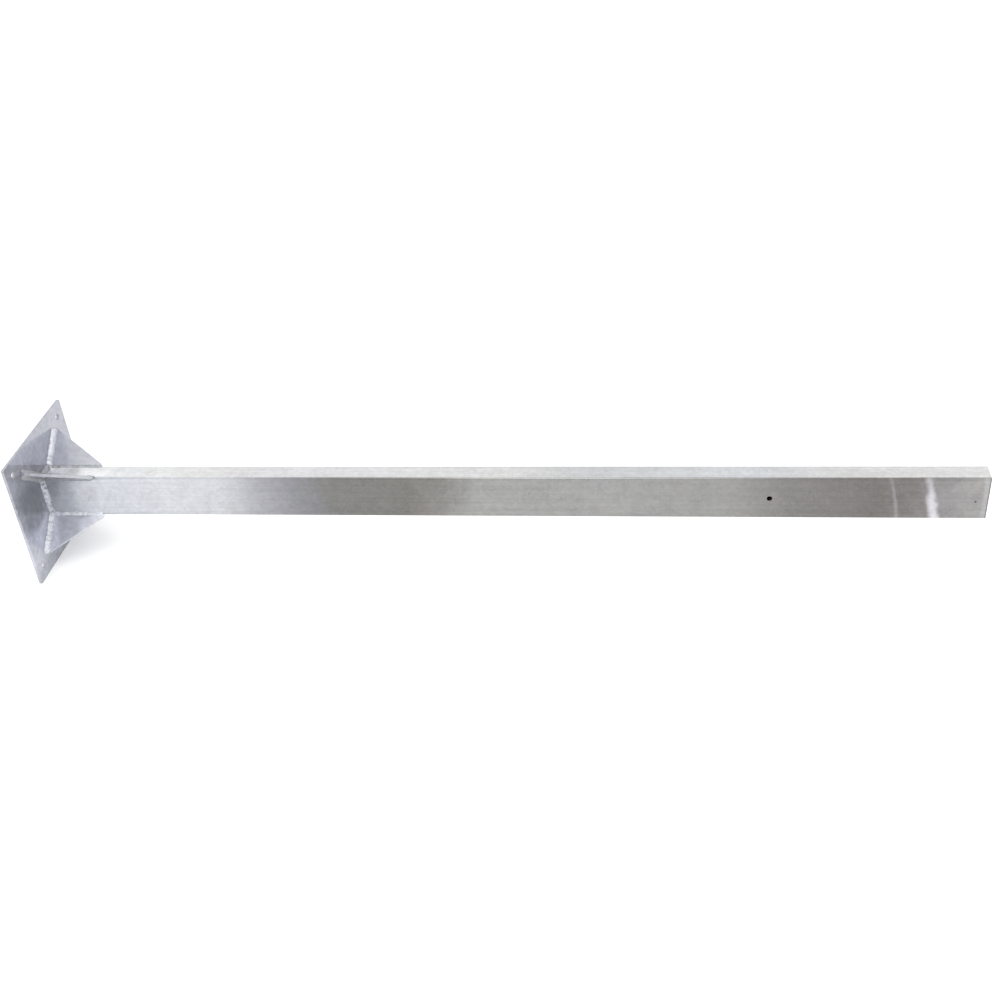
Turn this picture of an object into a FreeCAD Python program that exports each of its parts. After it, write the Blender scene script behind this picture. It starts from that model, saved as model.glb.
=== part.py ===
import FreeCAD, Part
import os

import Sketcher

# Welded steel arm: a rectangular tube that stands out from the middle of a square plate, with
# four gussets that run from the tube's long edges towards the plate's corners.
# +X runs along the tube away from the plate, +Z is up along the tube's tall faces, +Y is to the
# far side, and the origin is the middle of the plate's back face. Lengths are in millimetres.

DIMENSIONS = {
    "tube_tall": 80,
    "tube_wide": 40,
    "tube_wall": 3,
    "tube_length": 1620,
    "tube_edge_radius": 4.5,
    "cross_hole_radius": 4.5,
    "cross_hole_from_plate": 1270,
    "plate_side": 240,
    "plate_thickness": 5,
    "plate_corner_radius": 3,
    "bolt_spacing": 192,
    "bolt_hole_radius": 5.5,
    "vent_hole_radius": 8,
    "gusset_reach": 70,
    "gusset_length": 98,
    "gusset_thickness": 5,
    "gusset_tube_nose": 4,
    "gusset_plate_nose": 7,
    "gusset_root": 5,
    "plate_weld_leg": 7.2,
    "plate_weld_bulge": 1.5,
    "edge_weld_leg": 3.5,
    "edge_weld_bulge": 0.8,
    "weld_root": 1,
    "clearance": 15,
}


def size(alias):
    return f"<<Sizes>>.{alias}"


def half(alias):
    return f"{size(alias)} / 2"


# A gusset leaves the tube's edge at this angle from the wide direction, towards the plate's corner.
GUSSET_ANGLE = (
    f"atan(({size('plate_side')} - {size('tube_tall')})"
    f" / ({size('plate_side')} - {size('tube_wide')}))"
)
ALONG_TUBE = FreeCAD.Vector(1, 0, 0)
FAR_SIDE = FreeCAD.Vector(0, 1, 0)
UPWARDS = FreeCAD.Vector(0, 0, 1)
# Each gusset has one face towards the tube's narrow face and one towards its tall face.
GUSSET_FACES = ("narrow_side", "tall_side")

doc = FreeCAD.newDocument("gusseted_arm")


def fill_sheet():
    sheet = doc.addObject("Spreadsheet::Sheet", "Sizes")
    for row, (alias, value) in enumerate(DIMENSIONS.items(), start=1):
        sheet.set(f"A{row}", alias)
        sheet.set(f"B{row}", str(value))
        sheet.setAlias(f"B{row}", alias)
    doc.recompute()


def number_of(item, expression):
    return float(item.evalExpression(expression))


def vector_of(item, place):
    return FreeCAD.Vector(number_of(item, place[0]), number_of(item, place[1]), 0)


def move_to(item, x="0", y="0", z="0"):
    for axis, expression in (("x", x), ("y", y), ("z", z)):
        item.setExpression(f"Placement.Base.{axis}", expression)


def turn_about_tube(item, angle):
    item.Placement.Rotation = FreeCAD.Rotation(ALONG_TUBE, 1)
    item.setExpression("Placement.Rotation.Angle", angle)


def add_sketch(body, role):
    plane = next(item for item in body.Origin.OriginFeatures if item.Role == role)
    sketch = body.newObject("Sketcher::SketchObject", f"{body.Name}_section")
    sketch.AttachmentSupport = [(plane, "")]
    sketch.MapMode = "FlatFace"
    return sketch


def pin_point(sketch, edge, end, place):
    """Ties one end of a sketch edge to a place, a pair of expressions."""
    for kind, expression in zip(("DistanceX", "DistanceY"), place):
        value = number_of(sketch, expression)
        number = sketch.addConstraint(Sketcher.Constraint(kind, -1, 1, edge, end, value))
        sketch.setExpression(f"Constraints[{number}]", expression)


def close_outline(sketch, edge_count):
    """Joins the end of each edge of an outline to the start of the next."""
    for edge in range(edge_count):
        following = (edge + 1) % edge_count
        sketch.addConstraint(Sketcher.Constraint("Coincident", edge, 2, following, 1))


def draw_straight_outline(sketch, corners):
    points = [vector_of(sketch, corner) for corner in corners]
    for start, end in zip(points, points[1:] + points[:1]):
        sketch.addGeometry(Part.LineSegment(start, end))
    close_outline(sketch, len(corners))
    for edge, corner in enumerate(corners):
        pin_point(sketch, edge, 1, corner)


def add_pad(body, sketch, length, both_ways=False, backwards=False):
    pad = body.newObject("PartDesign::Pad", f"{body.Name}_pad")
    pad.Profile = sketch
    pad.SideType = "Symmetric" if both_ways else "One side"
    pad.Reversed = backwards
    pad.setExpression("Length", length)
    body.Tip = pad
    doc.recompute()
    return pad


def round_long_edges(body, solid, radius):
    rounding = body.newObject("PartDesign::Fillet", f"{body.Name}_rounding")
    long_edges = [
        f"Edge{number}"
        for number, edge in enumerate(solid.Shape.Edges, start=1)
        if abs(edge.tangentAt(edge.FirstParameter).x) > 0.99
    ]
    rounding.Base = (solid, long_edges)
    rounding.setExpression("Radius", radius)
    body.Tip = rounding
    doc.recompute()


def make_rounded_bar(name, wide, tall, radius, length):
    """Bar along +X, centred on its axis, with its four long edges rounded."""
    body = doc.addObject("PartDesign::Body", name)
    sketch = add_sketch(body, "YZ_Plane")
    signs = ((-1, -1), (1, -1), (1, 1), (-1, 1))
    corners = [(f"{across} * {wide} / 2", f"{up} * {tall} / 2") for across, up in signs]
    draw_straight_outline(sketch, corners)
    round_long_edges(body, add_pad(body, sketch, length), radius)
    return body


def make_drill(name, radius, length):
    drill = doc.addObject("Part::Cylinder", name)
    drill.setExpression("Radius", radius)
    drill.setExpression("Height", length)
    return drill


def cut_back(base, tools, label):
    """Cuts the tools from the base in turn. The last result has the label, and each cut takes metal."""
    for number, tool in enumerate(tools, start=1):
        result = doc.addObject("Part::Cut", label if tool is tools[-1] else f"{label}_cut_{number}")
        result.Base = base
        result.Tool = tool
        doc.recompute()
        if result.Shape.Volume >= base.Shape.Volume - 1e-6:
            raise ValueError(f"{tool.Label} takes nothing from {base.Label}")
        base = result
    return base


def make_mirrored(source, label, normal):
    mirrored = doc.addObject("Part::Mirroring", label)
    mirrored.Source = source
    mirrored.Normal = normal
    doc.recompute()
    return mirrored


def make_four(upper_far):
    """Mirrors a piece of the upper far quarter into the other three."""
    label = upper_far.Label
    upper_near = make_mirrored(upper_far, label.replace("far", "near"), FAR_SIDE)
    lower = [
        make_mirrored(piece, piece.Label.replace("upper", "lower"), UPWARDS)
        for piece in (upper_far, upper_near)
    ]
    return [upper_far, upper_near, *lower]


def make_tube_blank():
    blank = make_rounded_bar(
        "tube_blank",
        size("tube_wide"),
        size("tube_tall"),
        size("tube_edge_radius"),
        size("tube_length"),
    )
    move_to(blank, x=size("plate_thickness"))
    return blank


def make_tube(blank):
    """The tube, open at both ends, with one hole through both of its tall faces."""
    walls = f"2 * {size('tube_wall')}"
    hollow = make_rounded_bar(
        "tube_hollow",
        f"({size('tube_wide')} - {walls})",
        f"({size('tube_tall')} - {walls})",
        f"{size('tube_edge_radius')} - {size('tube_wall')}",
        f"{size('tube_length')} + 2 * {size('clearance')}",
    )
    move_to(hollow, x=f"{size('plate_thickness')} - {size('clearance')}")
    drill = make_drill(
        "cross_hole_drill",
        size("cross_hole_radius"),
        f"{size('tube_wide')} + 2 * {size('clearance')}",
    )
    turn_about_tube(drill, "90 deg")
    move_to(
        drill,
        x=f"{size('plate_thickness')} + {size('cross_hole_from_plate')}",
        y=f"{half('tube_wide')} + {size('clearance')}",
    )
    return cut_back(blank, [hollow, drill], "rectangular_tube")


def make_plate_blank():
    return make_rounded_bar(
        "plate_blank",
        size("plate_side"),
        size("plate_side"),
        size("plate_corner_radius"),
        size("plate_thickness"),
    )


def make_plate(blank):
    """The plate with a bolt hole near each corner and a vent hole into the tube."""
    holes = [(size("bolt_hole_radius"), across, up) for across in (-1, 1) for up in (-1, 1)]
    holes.append((size("vent_hole_radius"), 0, 0))
    drills = []
    for number, (radius, across, up) in enumerate(holes, start=1):
        length = f"{size('plate_thickness')} + 2 * {size('clearance')}"
        drill = make_drill(f"plate_drill_{number}", radius, length)
        drill.Placement.Rotation = FreeCAD.Rotation(UPWARDS, ALONG_TUBE)
        move_to(
            drill,
            x=f"-1 * {size('clearance')}",
            y=f"{across} * {half('bolt_spacing')}",
            z=f"{up} * {half('bolt_spacing')}",
        )
        drills.append(drill)
    doc.recompute()
    return cut_back(blank, drills, "base_plate")


def stand_on_tube_edge(body, inset="0"):
    """Lays a body along the upper far gusset: +X along the tube, +Y out from the tube's edge."""
    turn_about_tube(body, GUSSET_ANGLE)
    move_to(
        body,
        x=size("plate_thickness"),
        y=f"{half('tube_wide')} - {inset} * cos({GUSSET_ANGLE})",
        z=f"{half('tube_tall')} - {inset} * sin({GUSSET_ANGLE})",
    )
    doc.recompute()


def make_gusset(tube_blank):
    """Triangle with blunt noses whose foot is shaped to the rounded edge of the tube."""
    body = doc.addObject("PartDesign::Body", "gusset_blank")
    sketch = add_sketch(body, "XY_Plane")
    root = f"-1 * {size('gusset_root')}"
    corners = [
        ("0", root),
        (size("gusset_length"), root),
        (size("gusset_length"), size("gusset_tube_nose")),
        (size("gusset_plate_nose"), size("gusset_reach")),
        ("0", size("gusset_reach")),
    ]
    draw_straight_outline(sketch, corners)
    add_pad(body, sketch, size("gusset_thickness"), both_ways=True)
    stand_on_tube_edge(body)
    return cut_back(body, [tube_blank], "gusset_upper_far")


def make_weld_blank(label, role, corner, first, opening, weld, length, **padding):
    """Bar with the section of a fillet weld that fills the angle between two faces.

    The angle's corner is a place in the plane of that role. One face leaves it in the direction
    first and the other is turned from that by opening. The section has two equal legs, a rounded
    front, and a root that reaches into both faces, where the neighbours cut it back.
    """
    body = doc.addObject("PartDesign::Body", f"{label}_blank")
    sketch = add_sketch(body, role)
    leg = size(f"{weld}_leg")
    bulge = size(f"{weld}_bulge")
    middle = f"({first} + {opening} / 2)"
    half_chord = f"({leg} * sin({opening} / 2))"
    front_radius = f"({half_chord}^2 + {bulge}^2) / (2 * {bulge})"

    def away(distance, direction):
        return tuple(
            f"{start} + {distance} * {part}({direction})"
            for start, part in zip(corner, ("cos", "sin"))
        )

    first_toe = away(leg, first)
    front = away(f"({leg} * cos({opening} / 2) + {bulge})", middle)
    second_toe = away(leg, f"({first} + {opening})")
    root = away(f"-1 * {size('weld_root')}", middle)

    toe_1, crest, toe_2, root_point = [
        vector_of(sketch, place) for place in (first_toe, front, second_toe, root)
    ]
    sketch.addGeometry(Part.Arc(toe_1, crest, toe_2))
    sketch.addGeometry(Part.LineSegment(toe_2, root_point))
    sketch.addGeometry(Part.LineSegment(root_point, toe_1))
    close_outline(sketch, 3)
    for edge, place in enumerate((first_toe, second_toe, root)):
        pin_point(sketch, edge, 1, place)
    radius = Sketcher.Constraint("Radius", 0, number_of(sketch, front_radius))
    sketch.setExpression(f"Constraints[{sketch.addConstraint(radius)}]", front_radius)
    add_pad(body, sketch, length, **padding)
    return body


def make_plate_run(face, gusset, neighbours):
    """Weld between the upper far gusset and the plate, on one face of the gusset."""
    label = f"weld_gusset_to_plate_upper_far_{face}"
    side, first = (1, "0 deg") if face == "narrow_side" else (-1, "-90 deg")
    blank = make_weld_blank(
        label,
        "XZ_Plane",
        ("0", f"{side} * {half('gusset_thickness')}"),
        first,
        "90 deg",
        "plate_weld",
        f"{size('gusset_reach')} + {size('clearance')}",
        backwards=True,
    )
    stand_on_tube_edge(blank, inset=size("clearance"))
    return cut_back(blank, [gusset, *neighbours], label)


def make_tube_run(side, role, half_depth, length, neighbours):
    """Weld between one face of the tube and the plate, from gusset to gusset."""
    label = f"weld_tube_to_plate_{side}"
    blank = make_weld_blank(
        label,
        role,
        (size("plate_thickness"), half_depth),
        "0 deg",
        "90 deg",
        "plate_weld",
        length,
        both_ways=True,
    )
    return cut_back(blank, neighbours, label)


def make_edge_run(face, gusset, neighbours):
    """Weld between the upper far gusset and the tube's edge, on one face of the gusset."""
    label = f"weld_gusset_to_tube_upper_far_{face}"
    half_gusset = half("gusset_thickness")
    if face == "narrow_side":
        across = f"{half('tube_wide')} - {half_gusset} / sin({GUSSET_ANGLE})"
        corner = (across, half("tube_tall"))
        first, opening = GUSSET_ANGLE, f"(180 deg - {GUSSET_ANGLE})"
    else:
        up = f"{half('tube_tall')} - {half_gusset} / cos({GUSSET_ANGLE})"
        corner = (half("tube_wide"), up)
        first, opening = "-90 deg", f"(90 deg + {GUSSET_ANGLE})"
    blank = make_weld_blank(
        label,
        "YZ_Plane",
        corner,
        first,
        opening,
        "edge_weld",
        f"{size('plate_thickness')} + {size('gusset_length')}",
    )
    return cut_back(blank, [gusset, *neighbours], label)


def make_arm():
    """Builds every piece and returns them in a list."""
    tube_blank = make_tube_blank()
    plate_blank = make_plate_blank()
    parents = [tube_blank, plate_blank]
    gussets = make_four(make_gusset(tube_blank))
    upper_far, upper_near, lower_far, _ = gussets

    runs = {face: make_four(make_plate_run(face, upper_far, parents)) for face in GUSSET_FACES}
    narrow_far, narrow_near, _, _ = runs["narrow_side"]
    tall_upper, _, tall_lower, _ = runs["tall_side"]
    top = make_tube_run(
        "top",
        "XZ_Plane",
        half("tube_tall"),
        size("tube_wide"),
        [*parents, upper_far, upper_near, narrow_far, narrow_near],
    )
    far = make_tube_run(
        "far",
        "XY_Plane",
        half("tube_wide"),
        size("tube_tall"),
        [*parents, upper_far, lower_far, tall_upper, tall_lower],
    )
    bottom = make_mirrored(top, "weld_tube_to_plate_bottom", UPWARDS)
    near = make_mirrored(far, "weld_tube_to_plate_near", FAR_SIDE)

    edge_runs = []
    for face, plate_run, tube_run in zip(GUSSET_FACES, (narrow_far, tall_upper), (top, far)):
        edge_run = make_edge_run(face, upper_far, [*parents, plate_run, tube_run])
        edge_runs += make_four(edge_run)

    tube = make_tube(tube_blank)
    plate = make_plate(plate_blank)
    plate_runs = [run for four in runs.values() for run in four]
    return [tube, plate, *gussets, *plate_runs, top, bottom, near, far, *edge_runs]


def check_document():
    doc.recompute()
    for item in doc.Objects:
        if "Invalid" in item.State or "Error" in item.State:
            raise ValueError(f"{item.Label} did not build")


def write_pieces(pieces):
    os.makedirs("parts", exist_ok=True)
    for piece in pieces:
        shape = piece.Shape
        if shape.isNull() or not shape.isValid() or len(shape.Solids) != 1 or shape.Volume <= 0:
            raise ValueError(f"{piece.Label} is not one sound solid")
        shape.exportStep(f"parts/{piece.Label}.step")


fill_sheet()
arm = make_arm()
check_document()
write_pieces(arm)
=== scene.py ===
import math
import random

import bpy
from mathutils import Matrix, Vector


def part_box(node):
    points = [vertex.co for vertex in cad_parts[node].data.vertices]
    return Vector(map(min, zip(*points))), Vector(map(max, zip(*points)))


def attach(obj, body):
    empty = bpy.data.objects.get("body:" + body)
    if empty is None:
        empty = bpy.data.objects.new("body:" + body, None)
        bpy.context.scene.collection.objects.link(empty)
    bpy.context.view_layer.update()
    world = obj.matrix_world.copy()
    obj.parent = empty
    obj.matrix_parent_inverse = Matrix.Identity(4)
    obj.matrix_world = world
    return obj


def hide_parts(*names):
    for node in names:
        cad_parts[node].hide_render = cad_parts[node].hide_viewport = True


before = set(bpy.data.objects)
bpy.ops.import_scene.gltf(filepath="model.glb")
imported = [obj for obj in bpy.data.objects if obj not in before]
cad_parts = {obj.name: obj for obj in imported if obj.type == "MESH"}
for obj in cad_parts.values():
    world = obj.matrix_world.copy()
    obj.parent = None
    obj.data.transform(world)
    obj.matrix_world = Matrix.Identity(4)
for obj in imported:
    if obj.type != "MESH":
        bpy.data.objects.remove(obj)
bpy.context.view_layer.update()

# Hot-dip galvanised arm: a rectangular tube, a square plate, four gussets and the weld runs
# between them. Lengths are in metres, in the CAD frame: +X along the tube, +Z up.

MM = 0.001

# Sizes read from the frame.
TUBE_LOW, TUBE_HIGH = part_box("rectangular_tube")
PLATE_LOW, PLATE_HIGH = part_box("base_plate")
GUSSET_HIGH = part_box("gusset_upper_far")[1]
HALF_WIDE = TUBE_HIGH.y
HALF_TALL = TUBE_HIGH.z
PLATE_FACE = PLATE_HIGH.x
SHEET = PLATE_HIGH.x - PLATE_LOW.x
GUSSET_ANGLE = math.atan2(PLATE_HIGH.z - HALF_TALL, PLATE_HIGH.y - HALF_WIDE)
GUSSET_SPAN = GUSSET_HIGH.y - HALF_WIDE - SHEET / 2 * math.sin(GUSSET_ANGLE)
GUSSET_REACH = GUSSET_SPAN / math.cos(GUSSET_ANGLE)
GUSSET_TIP = GUSSET_HIGH.x
PLATE_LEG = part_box("weld_tube_to_plate_top")[1].x - PLATE_FACE
EDGE_FOOT = HALF_WIDE - SHEET / 2 / math.sin(GUSSET_ANGLE)
EDGE_LEG = EDGE_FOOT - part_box("weld_gusset_to_tube_upper_far_narrow_side")[0].y

# How far each kind of weld stands out past a flat fillet, as in the CAD.
PLATE_BULGE = 1.5 * MM
EDGE_BULGE = 0.8 * MM

ALONG = Vector((1, 0, 0))
# The four gussets, each on one side of the tube at one level.
QUARTERS = [(side, level) for level in ("upper", "lower") for side in ("far", "near")]
SIGN = {"far": 1, "near": -1, "upper": 1, "lower": -1}


# ---------------------------------------------------------------- modelling helpers

def only(piece):
    """Makes piece the one selected and active object."""
    bpy.ops.object.select_all(action="DESELECT")
    piece.select_set(True)
    bpy.context.view_layer.objects.active = piece


def add_modifier(piece, kind, name, **settings):
    modifier = piece.modifiers.new(name, kind)
    for key, value in settings.items():
        setattr(modifier, key, value)
    return modifier


def apply_modifiers(piece):
    only(piece)
    for modifier in list(piece.modifiers):
        bpy.ops.object.modifier_apply(modifier=modifier.name)


def bisect_all(point, outward):
    """Cuts the mesh being edited at a plane and closes it, keeping the side outward points to."""
    bpy.ops.mesh.select_all(action="SELECT")
    bpy.ops.mesh.bisect(plane_co=point, plane_no=outward, use_fill=True, clear_inner=True)


# ---------------------------------------------------------------- weld beads

# Each ripple is a few rings, and a ring is the one before it made larger or smaller.
RIPPLE_PITCH = 3.0 * MM
PITCH_RANGE = (0.8, 1.2)
SIZE_RANGE = (0.9, 1.1)
SMOOTH_RIPPLE = (1.02, 1.015, 0.985, 0.98)
COARSE_RIPPLE = (1.07, 1.03, 0.955, 0.95)

# The rounded stops at a bead's ends.
STOP_STEP = 0.6 * MM
OPENING_STOP = (0.55, 1.4, 1.2)
CLOSING_STOP = (0.88, 0.8, 0.6)

# How far a bead reaches into the metal that it joins.
BEAD_SINK = 1.0 * MM

# The points of the full circle that a bead's first ring is cut from.
RING_POINTS = 88

# The middle of a ring lags in steps: the reach of each step and how far it pulls back, as
# shares of the weld's leg.
CREST_SHARES = (0.85, 0.6, 0.35)
CREST_LAG = 0.16

# Unevenness of a bead's surface: the size of each kind of lump, and how far it pushes.
LUMP_SIZE = 7 * MM
GRIT_SIZE = 2.0 * MM
GRIT_PUSH = 0.4 * MM
SMOOTH_LUMPS = 1.4 * MM
COARSE_LUMPS = 2.6 * MM


def bead_section(name, corner, run, face_a, face_b, leg, bulge):
    """The first ring of a bead: the part of a circle that stands in the angle between two faces."""
    opening = face_a.angle(face_b)
    middle = (face_a + face_b).normalized()
    half_chord = leg * math.sin(opening / 2)
    radius = (half_chord ** 2 + bulge ** 2) / (2 * bulge)
    crest = leg * math.cos(opening / 2) + bulge
    centre = corner + middle * (crest - radius)
    bpy.ops.object.select_all(action="DESELECT")
    bpy.ops.mesh.primitive_circle_add(
        vertices=RING_POINTS,
        radius=radius,
        fill_type="NGON",
        location=centre,
        rotation=run.to_track_quat("Z", "Y").to_euler(),
    )
    bead = bpy.context.object
    bead.name = name
    bpy.ops.object.transform_apply(location=True, rotation=True, scale=True)
    bpy.ops.object.mode_set(mode="EDIT")
    for along, other in ((face_a, face_b), (face_b, face_a)):
        square = (other - along * other.dot(along)).normalized()
        sunk = corner - square * BEAD_SINK
        bpy.ops.mesh.select_all(action="SELECT")
        bpy.ops.mesh.bisect(plane_co=sunk, plane_no=square, clear_inner=True)
    return bead, corner + middle * crest


def lag_crest(bead, crest, run, reach):
    """Pulls the middle of the ring back along the run, so that each ripple is a crescent."""
    bpy.ops.mesh.select_mode(type="VERT")
    for share in CREST_SHARES:
        bpy.ops.object.mode_set(mode="OBJECT")
        for vertex in bead.data.vertices:
            vertex.select = (vertex.co - crest).length < reach * share
        bpy.ops.object.mode_set(mode="EDIT")
        bpy.ops.transform.translate(value=-run * reach * CREST_LAG)
    bpy.ops.mesh.select_mode(type="FACE")
    bpy.ops.mesh.select_all(action="SELECT")


def run_bead(name, corner, run, length, face_a, face_b, leg, bulge, seed, ripple, from_stop=False):
    """A rippled bead from corner along run to a rounded stop, and from one where it is asked."""
    draw = random.Random(seed)
    bead, crest = bead_section(name, corner, run, face_a, face_b, leg, bulge)
    lag_crest(bead, crest, run, leg)
    here = corner.copy()

    def ring(step, size):
        nonlocal here
        here = here + run * step
        bpy.ops.mesh.extrude_region_move(TRANSFORM_OT_translate={"value": run * step})
        bpy.ops.transform.resize(value=(size, size, size), center_override=here)

    if from_stop:
        first = OPENING_STOP[0]
        bpy.ops.transform.resize(value=(first, first, first), center_override=here)
        for size in OPENING_STOP[1:]:
            ring(STOP_STEP, size)
    rings = len(ripple)
    size_now = 1.0
    for _ in range(max(1, round(length / RIPPLE_PITCH))):
        pitch = RIPPLE_PITCH * draw.uniform(*PITCH_RANGE)
        wanted = draw.uniform(*SIZE_RANGE)
        drift = (wanted / size_now) ** (1 / rings)
        for swell in ripple:
            ring(pitch / rings, swell * drift)
        size_now = wanted
    for size in CLOSING_STOP:
        ring(STOP_STEP, size)
    return bead


def finish_bead(bead, trims=(), lumps=SMOOTH_LUMPS):
    """Trims the bead being edited, rounds it and gives it an uneven hand-laid surface."""
    for point, outward in trims:
        bisect_all(point, outward)
    bpy.ops.mesh.select_all(action="SELECT")
    bpy.ops.mesh.normals_make_consistent(inside=False)
    bpy.ops.object.mode_set(mode="OBJECT")
    add_modifier(bead, "SUBSURF", "rounding", levels=1, render_levels=1)
    for label, size, strength in (("lumps", LUMP_SIZE, lumps), ("grit", GRIT_SIZE, GRIT_PUSH)):
        add_modifier(
            bead,
            "DISPLACE",
            label,
            texture=cloud(label, size),
            texture_coords="LOCAL",
            direction="RGB_TO_XYZ",
            strength=strength,
            mid_level=0.5,
        )
    apply_modifiers(bead)
    bpy.ops.object.shade_smooth()
    return bead


def cloud(name, size):
    """A soft three-way noise, used to push a surface about."""
    if name not in bpy.data.textures:
        noise = bpy.data.textures.new(name, "CLOUDS")
        noise.noise_scale = size
        noise.noise_depth = 1
        noise.cloud_type = "COLOR"
    return bpy.data.textures[name]


def quarter_vectors(side, level):
    """Out along a quarter's gusset, and square to it towards the tube's narrow face."""
    across, up = SIGN[side], SIGN[level]
    cosine, sine = math.cos(GUSSET_ANGLE), math.sin(GUSSET_ANGLE)
    return Vector((0, across * cosine, up * sine)), Vector((0, -across * sine, up * cosine))


def lay_plate_run(side, level, face, seed):
    """Between a gusset and the plate, from inside the tube's wall to past the gusset's nose."""
    outward, narrow = quarter_vectors(side, level)
    square = narrow if face == "narrow_side" else -narrow
    edge = Vector((PLATE_FACE, SIGN[side] * HALF_WIDE, SIGN[level] * HALF_TALL))
    lean = 1 / math.tan(GUSSET_ANGLE) if face == "narrow_side" else math.tan(GUSSET_ANGLE)
    lead = (SHEET / 2 + PLATE_LEG) * lean
    corner = edge + square * SHEET / 2 - outward * lead
    bead = run_bead(
        f"bead_gusset_to_plate_{level}_{side}_{face}",
        corner,
        outward,
        lead + GUSSET_REACH,
        square,
        ALONG,
        PLATE_LEG,
        PLATE_BULGE,
        seed,
        SMOOTH_RIPPLE,
    )
    if face == "narrow_side":
        wall = Vector((0, 0, SIGN[level]))
    else:
        wall = Vector((0, SIGN[side], 0))
    return finish_bead(bead, [(edge - wall * MM, wall)])


def lay_edge_run(side, level, face, seed):
    """Between a gusset and the tube's edge, from the plate weld to past the gusset's tip."""
    outward, _ = quarter_vectors(side, level)
    across, up = SIGN[side], SIGN[level]
    start = PLATE_FACE + MM
    if face == "narrow_side":
        corner = Vector((start, across * EDGE_FOOT, up * HALF_TALL))
        along_wall = Vector((0, -across, 0))
    else:
        foot = HALF_TALL - SHEET / 2 / math.cos(GUSSET_ANGLE)
        corner = Vector((start, across * HALF_WIDE, up * foot))
        along_wall = Vector((0, 0, -up))
    bead = run_bead(
        f"bead_gusset_to_tube_{level}_{side}_{face}",
        corner,
        ALONG,
        GUSSET_TIP - start,
        along_wall,
        outward,
        EDGE_LEG,
        EDGE_BULGE,
        seed,
        SMOOTH_RIPPLE,
    )
    return finish_bead(bead)


def lay_tube_run(side, seed):
    """Between one face of the tube and the plate, from gusset to gusset."""
    if side in ("top", "bottom"):
        outward = Vector((0, 0, 1 if side == "top" else -1))
        run, depth, reach = Vector((0, 1, 0)), HALF_TALL, HALF_WIDE
    else:
        outward = Vector((0, SIGN[side], 0))
        run, depth, reach = Vector((0, 0, -1)), HALF_WIDE, HALF_TALL
    corner = Vector((PLATE_FACE, 0, 0)) + outward * depth - run * reach
    bead = run_bead(
        f"bead_tube_to_plate_{side}",
        corner,
        run,
        2 * reach,
        outward,
        ALONG,
        PLATE_LEG,
        PLATE_BULGE,
        seed,
        COARSE_RIPPLE,
        from_stop=True,
    )
    return finish_bead(bead, lumps=COARSE_LUMPS)


def keep_bead(bead, node, material):
    """Gives a bead its zinc and lets it stand for its CAD node."""
    bead.data.materials.clear()
    bead.data.materials.append(material)
    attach(bead, "root")
    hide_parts(node)


def lay_all_beads(materials):
    """Lays all twenty runs. Those of the upper near gusset, the narrow-side edge runs and the top
    run take a darker copy of the weld zinc: painted shade.
    """
    seed = 1
    for side, level in QUARTERS:
        for face in ("narrow_side", "tall_side"):
            # Painted shade: these runs take the darker copy of the weld zinc.
            shaded_quarter = level == "upper" and side == "near"
            shaded_edge = shaded_quarter or face == "narrow_side"
            plate_zinc = materials["painted_shade_weld_zinc" if shaded_quarter else "smooth_weld_zinc"]
            edge_zinc = materials["painted_shade_weld_zinc" if shaded_edge else "smooth_weld_zinc"]
            place = f"{level}_{side}_{face}"
            plate_run = lay_plate_run(side, level, face, seed)
            keep_bead(plate_run, f"weld_gusset_to_plate_{place}", plate_zinc)
            edge_run = lay_edge_run(side, level, face, seed + 1)
            keep_bead(edge_run, f"weld_gusset_to_tube_{place}", edge_zinc)
            seed += 2
    for side in ("top", "bottom", "near", "far"):
        tube_run = lay_tube_run(side, seed)
        # Painted shade: the top run takes the darker copy of the weld zinc.
        look = "painted_shade_weld_zinc" if side == "top" else "lumpy_weld_zinc"
        keep_bead(tube_run, f"weld_tube_to_plate_{side}", materials[look])
        seed += 1


# ---------------------------------------------------------------- shader helpers

def new_node(tree, kind, label="", **settings):
    node = tree.nodes.new(kind)
    node.label = label
    for key, value in settings.items():
        setattr(node, key, value)
    return node


def feed(tree, target, value):
    """Links an output to a socket, or sets the socket to a constant."""
    if isinstance(value, bpy.types.NodeSocket):
        tree.links.new(value, target)
    else:
        target.default_value = value


def maths(tree, operation, *values, clamp=False):
    node = new_node(tree, "ShaderNodeMath", operation=operation, use_clamp=clamp)
    for socket, value in zip(node.inputs, values):
        feed(tree, socket, value)
    return node.outputs[0]


def blend(tree, factor, low, high, mode="MIX"):
    """Mixes two colours. A plain colour is given as three numbers."""
    node = new_node(tree, "ShaderNodeMix", data_type="RGBA", blend_type=mode)
    feed(tree, node.inputs["Factor"], factor)
    for socket, colour in ((node.inputs[6], low), (node.inputs[7], high)):
        feed(tree, socket, (*colour, 1) if isinstance(colour, tuple) else colour)
    return node.outputs[2]


def remap(tree, value, low, high, to_low=0.0, to_high=1.0):
    """Carries low..high smoothly onto to_low..to_high, and holds it there beyond."""
    node = new_node(tree, "ShaderNodeMapRange", interpolation_type="SMOOTHSTEP")
    for socket, number in zip(node.inputs, (value, low, high, to_low, to_high)):
        feed(tree, socket, number)
    return node.outputs[0]


def stretched(tree, vector, scale):
    node = new_node(tree, "ShaderNodeMapping")
    feed(tree, node.inputs["Vector"], vector)
    node.inputs["Scale"].default_value = scale
    return node.outputs[0]


def noise(tree, vector, scale, detail=3.0, roughness=0.55, distortion=0.0):
    node = new_node(tree, "ShaderNodeTexNoise")
    feed(tree, node.inputs["Vector"], vector)
    settings = {
        "Scale": scale,
        "Detail": detail,
        "Roughness": roughness,
        "Distortion": distortion,
    }
    for name, value in settings.items():
        feed(tree, node.inputs[name], value)
    return node.outputs["Fac"]


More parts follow.
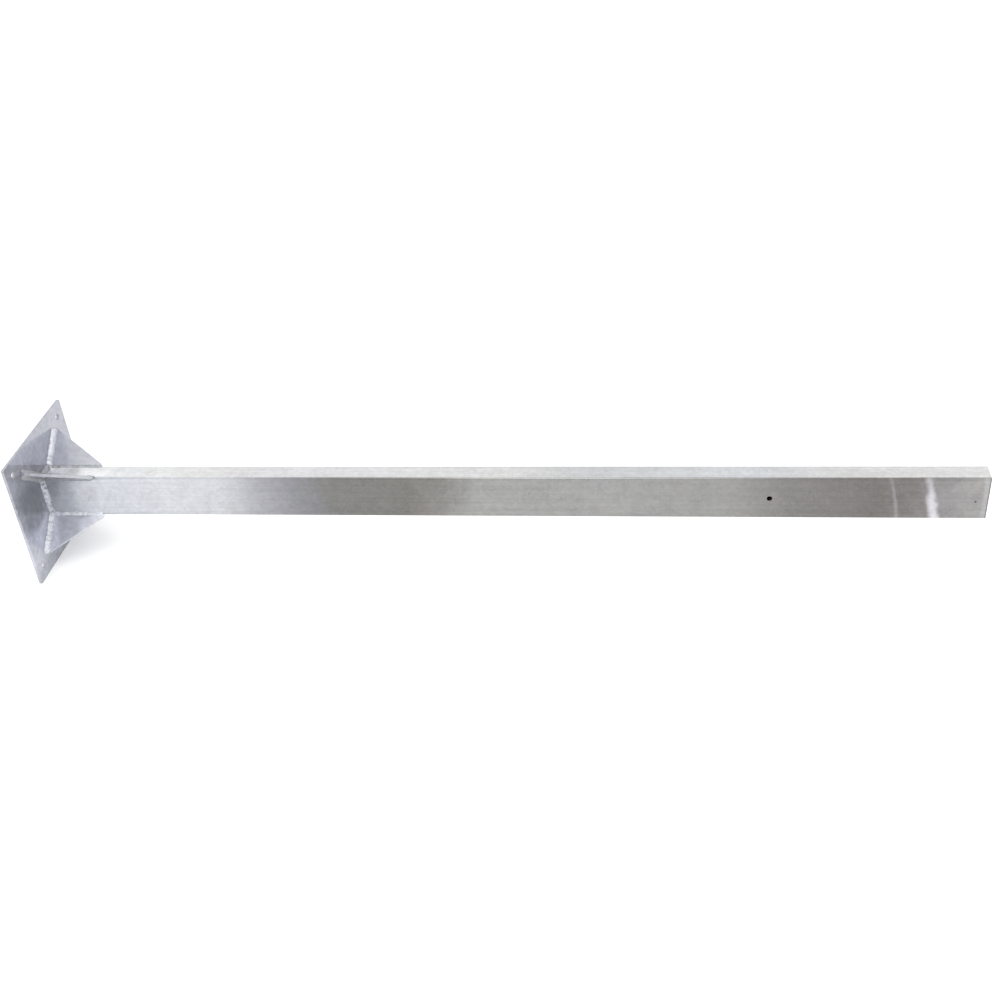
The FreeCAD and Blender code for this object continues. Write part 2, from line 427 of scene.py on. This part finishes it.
def start_group(name, inputs, outputs):
    group = bpy.data.node_groups.new(name, "ShaderNodeTree")
    for label, kind, value in inputs:
        socket = group.interface.new_socket(label, in_out="INPUT", socket_type=kind)
        socket.default_value = value
    for label, kind in outputs:
        group.interface.new_socket(label, in_out="OUTPUT", socket_type=kind)
    return group, group.nodes.new("NodeGroupInput"), group.nodes.new("NodeGroupOutput")


def place_group(tree, group, **values):
    node = new_node(tree, "ShaderNodeGroup", label=group.name, node_tree=group)
    for name, value in values.items():
        feed(tree, node.inputs[name], value)
    return node


# ---------------------------------------------------------------- shared effects

def build_spangle():
    """Zinc crystals: patches of slightly different brightness and tilt, with feathered joins."""
    tree, given, out = start_group(
        "zinc_spangle",
        [("Place", "NodeSocketVector", (0, 0, 0)), ("Crystals", "NodeSocketFloat", 220.0)],
        [("Shade", "NodeSocketFloat"), ("Height", "NodeSocketFloat")],
    )
    place, crystals = given.outputs[:2]
    wobble = new_node(tree, "ShaderNodeTexNoise", "wobble")
    feed(tree, wobble.inputs["Vector"], place)
    feed(tree, wobble.inputs["Scale"], maths(tree, "MULTIPLY", crystals, 1.7))
    pushed = new_node(tree, "ShaderNodeVectorMath", operation="MULTIPLY_ADD")
    feed(tree, pushed.inputs[0], wobble.outputs["Color"])
    pushed.inputs[1].default_value = (0.003, 0.003, 0.003)
    feed(tree, pushed.inputs[2], place)
    cells = new_node(tree, "ShaderNodeTexVoronoi", "crystals", feature="SMOOTH_F1")
    feed(tree, cells.inputs["Vector"], pushed.outputs[0])
    feed(tree, cells.inputs["Scale"], crystals)
    cells.inputs["Smoothness"].default_value = 0.35
    tone = new_node(tree, "ShaderNodeSeparateColor")
    feed(tree, tone.inputs[0], cells.outputs["Color"])
    feather = noise(tree, place, maths(tree, "MULTIPLY", crystals, 5.0), detail=4.0)
    shade = maths(tree, "MULTIPLY_ADD", maths(tree, "SUBTRACT", feather, 0.5), 0.5, tone.outputs[0])
    feed(tree, out.inputs["Shade"], shade)
    feed(tree, out.inputs["Height"], maths(tree, "ADD", tone.outputs[1], feather))
    return tree


def build_patina():
    """Cloudy dull areas, darker stains and small pale specks of weathered zinc."""
    tree, given, out = start_group(
        "zinc_patina",
        [("Place", "NodeSocketVector", (0, 0, 0)), ("Clouds", "NodeSocketFloat", 9.0)],
        [(label, "NodeSocketFloat") for label in ("Clouding", "Stain", "Specks")],
    )
    place, clouds = given.outputs[:2]
    broad = noise(tree, place, clouds, detail=5.0, roughness=0.6, distortion=0.4)
    fine = noise(tree, place, maths(tree, "MULTIPLY", clouds, 5.5), detail=5.0, roughness=0.65)
    mixed = maths(tree, "MULTIPLY_ADD", fine, 0.45, maths(tree, "MULTIPLY", broad, 0.55))
    feed(tree, out.inputs["Clouding"], remap(tree, mixed, 0.36, 0.64))
    stain = noise(tree, place, maths(tree, "MULTIPLY", clouds, 2.3), detail=6.0, roughness=0.7)
    feed(tree, out.inputs["Stain"], remap(tree, stain, 0.57, 0.72))
    dots = noise(tree, place, maths(tree, "MULTIPLY", clouds, 95.0), detail=1.0)
    feed(tree, out.inputs["Specks"], remap(tree, dots, 0.68, 0.74))
    return tree


def principled(material):
    """Empties the material and gives it one shader, wired to its output."""
    tree = material.node_tree
    tree.nodes.clear()
    shader = new_node(tree, "ShaderNodeBsdfPrincipled")
    output = new_node(tree, "ShaderNodeOutputMaterial")
    tree.links.new(shader.outputs[0], output.inputs["Surface"])
    return tree, shader


def object_place(tree):
    return new_node(tree, "ShaderNodeTexCoord").outputs["Object"]


def split_place(tree, place):
    node = new_node(tree, "ShaderNodeSeparateXYZ")
    feed(tree, node.inputs[0], place)
    return node.outputs


def ramp(tree, factor, stops):
    node = new_node(tree, "ShaderNodeValToRGB")
    feed(tree, node.inputs[0], factor)
    line = node.color_ramp
    while len(line.elements) < len(stops):
        line.elements.new(0.5)
    for element, (position, colour) in zip(line.elements, stops):
        element.position = position
        element.color = (*colour, 1)
    return node.outputs["Color"]


def bump(tree, height, distance, strength=1.0, normal=None):
    node = new_node(tree, "ShaderNodeBump")
    node.inputs["Strength"].default_value = strength
    node.inputs["Distance"].default_value = distance
    feed(tree, node.inputs["Height"], height)
    if normal is not None:
        feed(tree, node.inputs["Normal"], normal)
    return node.outputs[0]


# ---------------------------------------------------------------- materials

# Painted reflections and shade along the tube's tall faces, from the plate to the free end: a
# bright band near the plate, then darker bands that turn warmer, and paler again at the sawn end.
TALL_FACE_PAINTED_REFLECTIONS = (
    (0.000, (0.42, 0.435, 0.475)),
    (0.060, (0.515, 0.535, 0.57)),
    (0.198, (0.515, 0.52, 0.55)),
    (0.218, (0.445, 0.45, 0.475)),
    (0.247, (0.325, 0.325, 0.35)),
    (0.287, (0.23, 0.232, 0.25)),
    (0.327, (0.175, 0.173, 0.17)),
    (0.406, (0.172, 0.168, 0.158)),
    (0.446, (0.215, 0.21, 0.20)),
    (0.486, (0.29, 0.29, 0.285)),
    (0.606, (0.30, 0.30, 0.298)),
    (0.747, (0.27, 0.268, 0.264)),
    (0.797, (0.205, 0.20, 0.196)),
    (0.888, (0.160, 0.150, 0.145)),
    (0.923, (0.185, 0.172, 0.168)),
    (0.959, (0.25, 0.242, 0.245)),
    (1.000, (0.30, 0.295, 0.29)),
)

# Painted light along the narrow faces, which stay pale all the way, much paler than the tall faces.
NARROW_FACE_PAINTED_LIGHT = (
    (0.00, (0.86, 0.865, 0.88)),
    (0.045, (0.82, 0.825, 0.84)),
    (0.08, (0.66, 0.67, 0.68)),
    (0.17, (0.61, 0.61, 0.61)),
    (0.26, (0.575, 0.57, 0.585)),
    (0.38, (0.605, 0.605, 0.615)),
    (0.51, (0.59, 0.59, 0.59)),
    (0.60, (0.505, 0.51, 0.52)),
    (0.77, (0.525, 0.53, 0.55)),
    (0.85, (0.555, 0.555, 0.555)),
    (0.92, (0.60, 0.60, 0.60)),
    (1.00, (0.62, 0.62, 0.615)),
)

# Tones laid over the zinc of the tube; the run tone is a painted highlight.
PAINTED_RUN_HIGHLIGHT = (0.66, 0.645, 0.69)
END_BUILD_UP = (0.50, 0.50, 0.51)
DARK_END_BAND = (0.12, 0.12, 0.13)
WARM_STAIN = (0.30, 0.27, 0.24)
PALE_SPECKS = (0.70, 0.71, 0.73)
DARK_PIT = (0.05, 0.05, 0.06)

# Painted highlights of slanted zinc runs near the free end: middle, half width and how strongly
# they show.
ZINC_RUN_HIGHLIGHTS = ((1.476, 5.0 * MM, 0.2), (1.535, 10.5 * MM, 0.8))
RUN_SLANT = 0.2

# One small dark pit in the near tall face.
PIT_PLACE = (TUBE_HIGH.x - 20 * MM, TUBE_LOW.y, -5 * MM)
PIT_RADIUS = 2.4 * MM


def zinc_run_highlight(tree, along, up, wander, middle, half_width):
    """A painted highlight: a pale band for the light that a run of zinc catches, leaning along the
    tube as it falls.
    """
    leaned = maths(tree, "MULTIPLY_ADD", up, RUN_SLANT, along)
    drift = maths(tree, "MULTIPLY_ADD", wander, 2 * half_width, leaned)
    away = maths(tree, "ABSOLUTE", maths(tree, "SUBTRACT", drift, middle + half_width))
    fading = remap(tree, up, HALF_TALL, -HALF_TALL * 0.4, 0.5, 1.0)
    return maths(tree, "MULTIPLY", remap(tree, away, half_width, 0.0), fading)


def sawn_end(tree, along, wander, colour):
    """Pale build-up of zinc beside the sawn end, and a darker band in the last few millimetres
    before the end.
    """
    from_end = maths(tree, "SUBTRACT", TUBE_HIGH.x, along)
    uneven = maths(tree, "MULTIPLY_ADD", wander, 5 * MM, from_end)
    pale = remap(tree, uneven, 14 * MM, 8 * MM, 0.0, 0.35)
    colour = blend(tree, pale, colour, END_BUILD_UP)
    dark = remap(tree, from_end, 3.0 * MM, 1.2 * MM, 0.0, 0.75)
    return blend(tree, dark, colour, DARK_END_BAND)


def zinc_pit(tree, place):
    """A small dark pit in the near tall face, close to the free end."""
    away = new_node(tree, "ShaderNodeVectorMath", operation="DISTANCE")
    feed(tree, away.inputs[0], place)
    away.inputs[1].default_value = PIT_PLACE
    return remap(tree, away.outputs["Value"], PIT_RADIUS, PIT_RADIUS * 0.4)


def tube_colour(tree, place, crystals, weather, streaks):
    """Painted reflections and shade along the tall faces, painted light on the narrow faces, the
    painted run highlights, the sawn end, and the weathering over them all.
    """
    along, across, up = split_place(tree, place)
    wander = noise(tree, place, 38.0, detail=2.0)
    near_side = remap(tree, across, 0.0, TUBE_LOW.y * 0.5)
    length = TUBE_HIGH.x - TUBE_LOW.x
    drift = maths(tree, "MULTIPLY_ADD", weather.outputs["Clouding"], 0.02, -0.01)
    share = maths(tree, "DIVIDE", maths(tree, "SUBTRACT", along, TUBE_LOW.x), length)
    # Painted reflections and shade along the tall faces.
    painted_tall_faces = ramp(tree, maths(tree, "ADD", share, drift, clamp=True), TALL_FACE_PAINTED_REFLECTIONS)
    # Painted highlights of the zinc runs, laid on the near tall face only.
    for middle, half_width, strength in ZINC_RUN_HIGHLIGHTS:
        run = zinc_run_highlight(tree, along, up, wander, middle, half_width)
        near_run_highlight = maths(tree, "MULTIPLY", run, near_side)
        painted_tall_faces = blend(tree, maths(tree, "MULTIPLY", near_run_highlight, strength), painted_tall_faces, PAINTED_RUN_HIGHLIGHT)
    painted_tall_faces = sawn_end(tree, along, wander, painted_tall_faces)

    sideways = maths(tree, "MULTIPLY_ADD", near_side, 2 * MM, maths(tree, "ABSOLUTE", across))
    on_tall_face = remap(tree, sideways, HALF_WIDE - 2.5 * MM, HALF_WIDE - 0.3 * MM)
    # Painted light: the narrow faces take the paler ramp, the tall faces the painted reflections.
    narrow = ramp(tree, share, NARROW_FACE_PAINTED_LIGHT)
    colour = blend(tree, on_tall_face, narrow, painted_tall_faces)
    cloudy = maths(tree, "MULTIPLY_ADD", weather.outputs["Clouding"], 0.12, 0.94)
    grain = maths(tree, "MULTIPLY_ADD", crystals.outputs["Shade"], 0.12, 0.94)
    lines = maths(tree, "MULTIPLY_ADD", streaks, 0.34, 0.83)
    shade = maths(tree, "MULTIPLY", maths(tree, "MULTIPLY", cloudy, grain), lines)
    colour = blend(tree, 1.0, colour, shade, mode="MULTIPLY")
    stained = maths(tree, "MULTIPLY", weather.outputs["Stain"], 0.25)
    colour = blend(tree, stained, colour, WARM_STAIN)
    speckled = maths(tree, "MULTIPLY", weather.outputs["Specks"], 0.2)
    colour = blend(tree, speckled, colour, PALE_SPECKS)
    return blend(tree, zinc_pit(tree, place), colour, DARK_PIT)


def make_tube_zinc(material, spangle, patina):
    """Drawn tube under zinc: streaks along it, slow waves and small crystals."""
    tree, shader = principled(material)
    place = object_place(tree)
    crystals = place_group(tree, spangle, Place=place, Crystals=170.0)
    weather = place_group(tree, patina, Place=place, Clouds=7.0)
    streaks = noise(tree, stretched(tree, place, (3, 260, 260)), 1.0, detail=4.0, roughness=0.6)
    colour = tube_colour(tree, place, crystals, weather, streaks)
    feed(tree, shader.inputs["Base Color"], colour)
    shader.inputs["Metallic"].default_value = 0.8
    dull = maths(tree, "MULTIPLY_ADD", weather.outputs["Clouding"], 0.10, 0.20)
    feed(tree, shader.inputs["Roughness"], maths(tree, "MULTIPLY_ADD", streaks, 0.10, dull))
    waves = noise(tree, stretched(tree, place, (9, 22, 22)), 1.0, detail=2.0)
    wavy = bump(tree, waves, 0.8 * MM, 0.4)
    lined = bump(tree, streaks, 0.05 * MM, 0.6, wavy)
    surface = bump(tree, crystals.outputs["Height"], 0.04 * MM, 0.5, lined)
    feed(tree, shader.inputs["Normal"], surface)


# Tones of the plate's and gussets' zinc, with painted light towards the tips and a painted
# reflection on the plate's front.
SHEET_DULL = (0.385, 0.395, 0.445)
SHEET_BRIGHT = (0.455, 0.465, 0.515)
SHEET_PAINTED_LIGHT = (0.54, 0.55, 0.59)
SHEET_PAINTED_REFLECTION = (0.18, 0.19, 0.205)
SHEET_STAIN = (0.38, 0.39, 0.38)
SHEET_SPECKS = (0.7, 0.71, 0.74)

# A painted reflection of the tube and the near gusset: a darker area of the plate's front, between
# the tube and the near corner.
REFLECTION_PATCH_MIDDLE = (0, PLATE_LOW.y * 0.6, PLATE_HIGH.z * 0.16)
REFLECTION_PATCH_OUTER = 102 * MM
REFLECTION_PATCH_INNER = 52 * MM
REFLECTION_PATCH_RAGGEDNESS = 45 * MM
REFLECTION_PATCH_STRENGTH = 0.85


def painted_light_at_tips(tree, place):
    """Painted light: paler towards the gussets' tips and the plate's corners, darker in towards the
    tube.
    """
    along, across, up = split_place(tree, place)
    flat = new_node(tree, "ShaderNodeCombineXYZ")
    feed(tree, flat.inputs["Y"], across)
    feed(tree, flat.inputs["Z"], up)
    out = new_node(tree, "ShaderNodeVectorMath", operation="LENGTH")
    feed(tree, out.inputs[0], flat.outputs[0])
    corner = PLATE_HIGH.length
    at_corner = remap(tree, out.outputs["Value"], corner * 0.6, corner * 0.95, 0.0, 0.08)
    at_tip = remap(tree, along, GUSSET_TIP * 0.2, GUSSET_TIP * 0.9, 0.0, 0.8)
    return maths(tree, "MAXIMUM", at_corner, at_tip)


def painted_height_shading(tree, place):
    """Painted shading by height: darker above the tube and paler below it, darker again at the
    lower corner.
    """
    up = split_place(tree, place)[2]
    lower = remap(tree, up, 30 * MM, -45 * MM, 0.91, 1.22)
    corner = remap(tree, up, -70 * MM, PLATE_LOW.z, 1.0, 0.72)
    return maths(tree, "MULTIPLY", lower, corner)


def painted_reflection_patch(tree, place, crystals):
    """The mask of the painted reflection on the plate's front, with a ragged border."""
    away = new_node(tree, "ShaderNodeVectorMath", operation="DISTANCE")
    feed(tree, away.inputs[0], place)
    away.inputs[1].default_value = REFLECTION_PATCH_MIDDLE
    blotches = noise(tree, place, 30.0, detail=4.0)
    ragged = maths(tree, "MULTIPLY_ADD", blotches, REFLECTION_PATCH_RAGGEDNESS, away.outputs["Value"])
    ragged = maths(tree, "MULTIPLY_ADD", crystals.outputs["Shade"], 8 * MM, ragged)
    front = remap(tree, split_place(tree, place)[0], PLATE_FACE * 0.5, PLATE_FACE * 0.9)
    reflection_mask = remap(tree, ragged, REFLECTION_PATCH_OUTER, REFLECTION_PATCH_INNER, 0.0, REFLECTION_PATCH_STRENGTH)
    return maths(tree, "MULTIPLY", reflection_mask, front)


def make_sheet_zinc(material, spangle, patina):
    """Flat sheet under zinc: glossy enough to mirror the tube and the gussets faintly."""
    tree, shader = principled(material)
    place = object_place(tree)
    crystals = place_group(tree, spangle, Place=place, Crystals=150.0)
    weather = place_group(tree, patina, Place=place, Clouds=16.0)
    colour = blend(tree, weather.outputs["Clouding"], SHEET_DULL, SHEET_BRIGHT)
    # Painted light towards the tips, then a painted reflection on the plate's front.
    colour = blend(tree, painted_light_at_tips(tree, place), colour, SHEET_PAINTED_LIGHT)
    colour = blend(tree, painted_reflection_patch(tree, place, crystals), colour, SHEET_PAINTED_REFLECTION)
    grain = maths(tree, "MULTIPLY_ADD", crystals.outputs["Shade"], 0.16, 0.92)
    # Painted shading by height, over the crystal grain.
    shade = maths(tree, "MULTIPLY", grain, painted_height_shading(tree, place))
    colour = blend(tree, 1.0, colour, shade, mode="MULTIPLY")
    stained = maths(tree, "MULTIPLY", weather.outputs["Stain"], 0.25)
    colour = blend(tree, stained, colour, SHEET_STAIN)
    speckled = maths(tree, "MULTIPLY", weather.outputs["Specks"], 0.18)
    colour = blend(tree, speckled, colour, SHEET_SPECKS)
    feed(tree, shader.inputs["Base Color"], colour)
    shader.inputs["Metallic"].default_value = 0.62
    dull = maths(tree, "MULTIPLY_ADD", weather.outputs["Clouding"], 0.06, 0.08)
    feed(tree, shader.inputs["Roughness"], dull)
    waves = noise(tree, place, 26.0, detail=2.0)
    wavy = bump(tree, waves, 0.6 * MM, 0.3)
    surface = bump(tree, crystals.outputs["Height"], 0.04 * MM, 0.5, wavy)
    feed(tree, shader.inputs["Normal"], surface)


# How each kind of weld looks: dull tone, pale tone, and how strongly dark pits show.
WELD_LOOKS = {
    "smooth_weld_zinc": ((0.62, 0.63, 0.68), (0.74, 0.75, 0.81), 0.2),
    # This darker copy is painted shade, for the welds that sit in shadow.
    "painted_shade_weld_zinc": ((0.28, 0.29, 0.305), (0.40, 0.41, 0.43), 0.3),
    "lumpy_weld_zinc": ((0.46, 0.47, 0.51), (0.64, 0.65, 0.71), 0.9),
}
WELD_PITS = (0.22, 0.23, 0.25)


def make_weld_zinc(material, spangle, patina, dull_tone, pale_tone, pitting):
    """Weld metal under zinc: small crystals, grit and dark pits."""
    tree, shader = principled(material)
    place = object_place(tree)
    crystals = place_group(tree, spangle, Place=place, Crystals=420.0)
    weather = place_group(tree, patina, Place=place, Clouds=45.0)
    colour = blend(tree, weather.outputs["Clouding"], dull_tone, pale_tone)
    grain = maths(tree, "MULTIPLY_ADD", crystals.outputs["Shade"], 0.18, 0.9)
    colour = blend(tree, 1.0, colour, grain, mode="MULTIPLY")
    pits = remap(tree, noise(tree, place, 190.0, detail=2.0), 0.52, 0.66, 0.0, pitting)
    colour = blend(tree, pits, colour, WELD_PITS)
    feed(tree, shader.inputs["Base Color"], colour)
    shader.inputs["Metallic"].default_value = 0.55
    dull = maths(tree, "MULTIPLY_ADD", weather.outputs["Clouding"], 0.15, 0.36)
    feed(tree, shader.inputs["Roughness"], dull)
    grit = noise(tree, place, 900.0, detail=3.0)
    rough = bump(tree, grit, 0.12 * MM, 0.5)
    surface = bump(tree, crystals.outputs["Height"], 0.05 * MM, 0.5, rough)
    feed(tree, shader.inputs["Normal"], surface)


def make_materials():
    spangle = build_spangle()
    patina = build_patina()
    made = {}

    def make(name, build, *looks):
        material = bpy.data.materials.new(name)
        material.use_nodes = True
        build(material, spangle, patina, *looks)
        made[name] = material

    make("tube_zinc", make_tube_zinc)
    make("sheet_zinc", make_sheet_zinc)
    for name, looks in WELD_LOOKS.items():
        make(name, make_weld_zinc, *looks)
    return made


# ---------------------------------------------------------------- carried-over CAD pieces

WELD_GAP = 0.001 * MM
FLAT_ANGLE = math.radians(0.5)
EDGE_SOFTENING = 0.3 * MM
SHARP_ANGLE = math.radians(50)


def finish_cad_piece(node, material):
    """Gives a CAD piece its zinc and softens its cut edges as a zinc coat does."""
    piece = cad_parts[node]
    for index in range(len(piece.data.materials)):
        piece.data.materials[index] = material
    add_modifier(piece, "WELD", "joined_corners", merge_threshold=WELD_GAP)
    add_modifier(
        piece,
        "DECIMATE",
        "flat_faces",
        decimate_type="DISSOLVE",
        angle_limit=FLAT_ANGLE,
    )
    add_modifier(
        piece,
        "BEVEL",
        "soft_edges",
        width=EDGE_SOFTENING,
        segments=2,
        limit_method="ANGLE",
        angle_limit=SHARP_ANGLE,
        use_clamp_overlap=False,
        harden_normals=True,
    )


# ---------------------------------------------------------------- floor, light and camera

FLOOR_SIZE = 60
FLOOR_GREY = (0.78, 0.78, 0.78, 1)
FLOOR_GLOW = 0.3


def make_floor():
    bpy.ops.object.select_all(action="DESELECT")
    bpy.ops.mesh.primitive_plane_add(size=FLOOR_SIZE, location=(0, 0, PLATE_LOW.z))
    floor = bpy.context.object
    floor.name = "studio_floor"
    material = bpy.data.materials.new("studio_floor_paint")
    material.use_nodes = True
    tree, shader = principled(material)
    shader.inputs["Base Color"].default_value = FLOOR_GREY
    shader.inputs["Emission Color"].default_value = (1, 1, 1, 1)
    shader.inputs["Emission Strength"].default_value = FLOOR_GLOW
    shader.inputs["Roughness"].default_value = 0.9
    shader.inputs["Specular IOR Level"].default_value = 0.0
    floor.data.materials.append(material)


def add_soft_light(name, place, target, size, power):
    lamp = bpy.data.lights.new(name, "AREA")
    lamp.shape = "RECTANGLE"
    lamp.size, lamp.size_y = size
    lamp.energy = power
    light = bpy.data.objects.new(name, lamp)
    light.location = place
    light.rotation_euler = (Vector(target) - Vector(place)).to_track_quat("-Z", "Y").to_euler()
    bpy.context.scene.collection.objects.link(light)


# The white surround, with a soft grey area in one direction that fades between two angles.
SKY = 1.18
GREY_SKY = 0.25
GREY_SIDE = Vector((0.583, 0.65, 0.48)).normalized()
GREY_OUTER = math.radians(20)
GREY_INNER = math.radians(11)

SOFTBOX_PLACE = (0.4, -0.6, 3.4)
SOFTBOX_SIZE = (3.6, 2.6)
SOFTBOX_POWER = 45


def make_light():
    """An even white surround with one soft grey area beyond the free end, and a large softbox."""
    world = bpy.data.worlds.new("studio")
    bpy.context.scene.world = world
    world.use_nodes = True
    tree = world.node_tree
    direction = new_node(tree, "ShaderNodeTexCoord").outputs["Generated"]
    facing = new_node(tree, "ShaderNodeVectorMath", operation="DOT_PRODUCT")
    feed(tree, facing.inputs[0], direction)
    facing.inputs[1].default_value = GREY_SIDE
    grey = remap(tree, facing.outputs["Value"], math.cos(GREY_OUTER), math.cos(GREY_INNER))
    seen = new_node(tree, "ShaderNodeLightPath").outputs["Is Camera Ray"]
    grey = maths(tree, "MULTIPLY", grey, maths(tree, "SUBTRACT", 1.0, seen))
    sky = tree.nodes["Background"]
    sky.inputs["Color"].default_value = (1, 1, 1, 1)
    feed(tree, sky.inputs["Strength"], maths(tree, "MULTIPLY_ADD", grey, GREY_SKY - SKY, SKY))
    middle = (TUBE_HIGH.x / 2, 0, 0)
    add_soft_light("overhead_softbox", SOFTBOX_PLACE, middle, SOFTBOX_SIZE, SOFTBOX_POWER)
    bpy.context.scene.view_settings.view_transform = "Standard"


# The camera stands on the near side and above. Yaw is off +Y, pitch is down.
CAMERA_PLACE = (1.1063, -1.8011, 1.2318)
CAMERA_YAW = math.radians(-9.026)
CAMERA_PITCH = math.radians(34.431)
CAMERA_ROLL = math.radians(4.952)
CAMERA_LENS = 46.07
CAMERA_SENSOR = 36


def make_camera():
    lens = bpy.data.cameras.new("camera")
    lens.sensor_width = CAMERA_SENSOR
    lens.lens = CAMERA_LENS
    camera = bpy.data.objects.new("camera", lens)
    camera.location = CAMERA_PLACE
    level = Vector((math.cos(CAMERA_YAW), -math.sin(CAMERA_YAW), 0))
    flat = math.cos(CAMERA_PITCH)
    ahead = (math.sin(CAMERA_YAW) * flat, math.cos(CAMERA_YAW) * flat, -math.sin(CAMERA_PITCH))
    look = Vector(ahead)
    down = look.cross(level)
    right = level * math.cos(CAMERA_ROLL) + down * math.sin(CAMERA_ROLL)
    top = level * math.sin(CAMERA_ROLL) - down * math.cos(CAMERA_ROLL)
    camera.rotation_mode = "QUATERNION"
    camera.rotation_quaternion = Matrix((right, top, -look)).transposed().to_quaternion()
    bpy.context.scene.collection.objects.link(camera)
    bpy.context.scene.camera = camera


materials = make_materials()
finish_cad_piece("rectangular_tube", materials["tube_zinc"])
for cad_name in ["base_plate"] + [f"gusset_{level}_{side}" for side, level in QUARTERS]:
    finish_cad_piece(cad_name, materials["sheet_zinc"])
lay_all_beads(materials)
make_floor()
make_light()
make_camera()
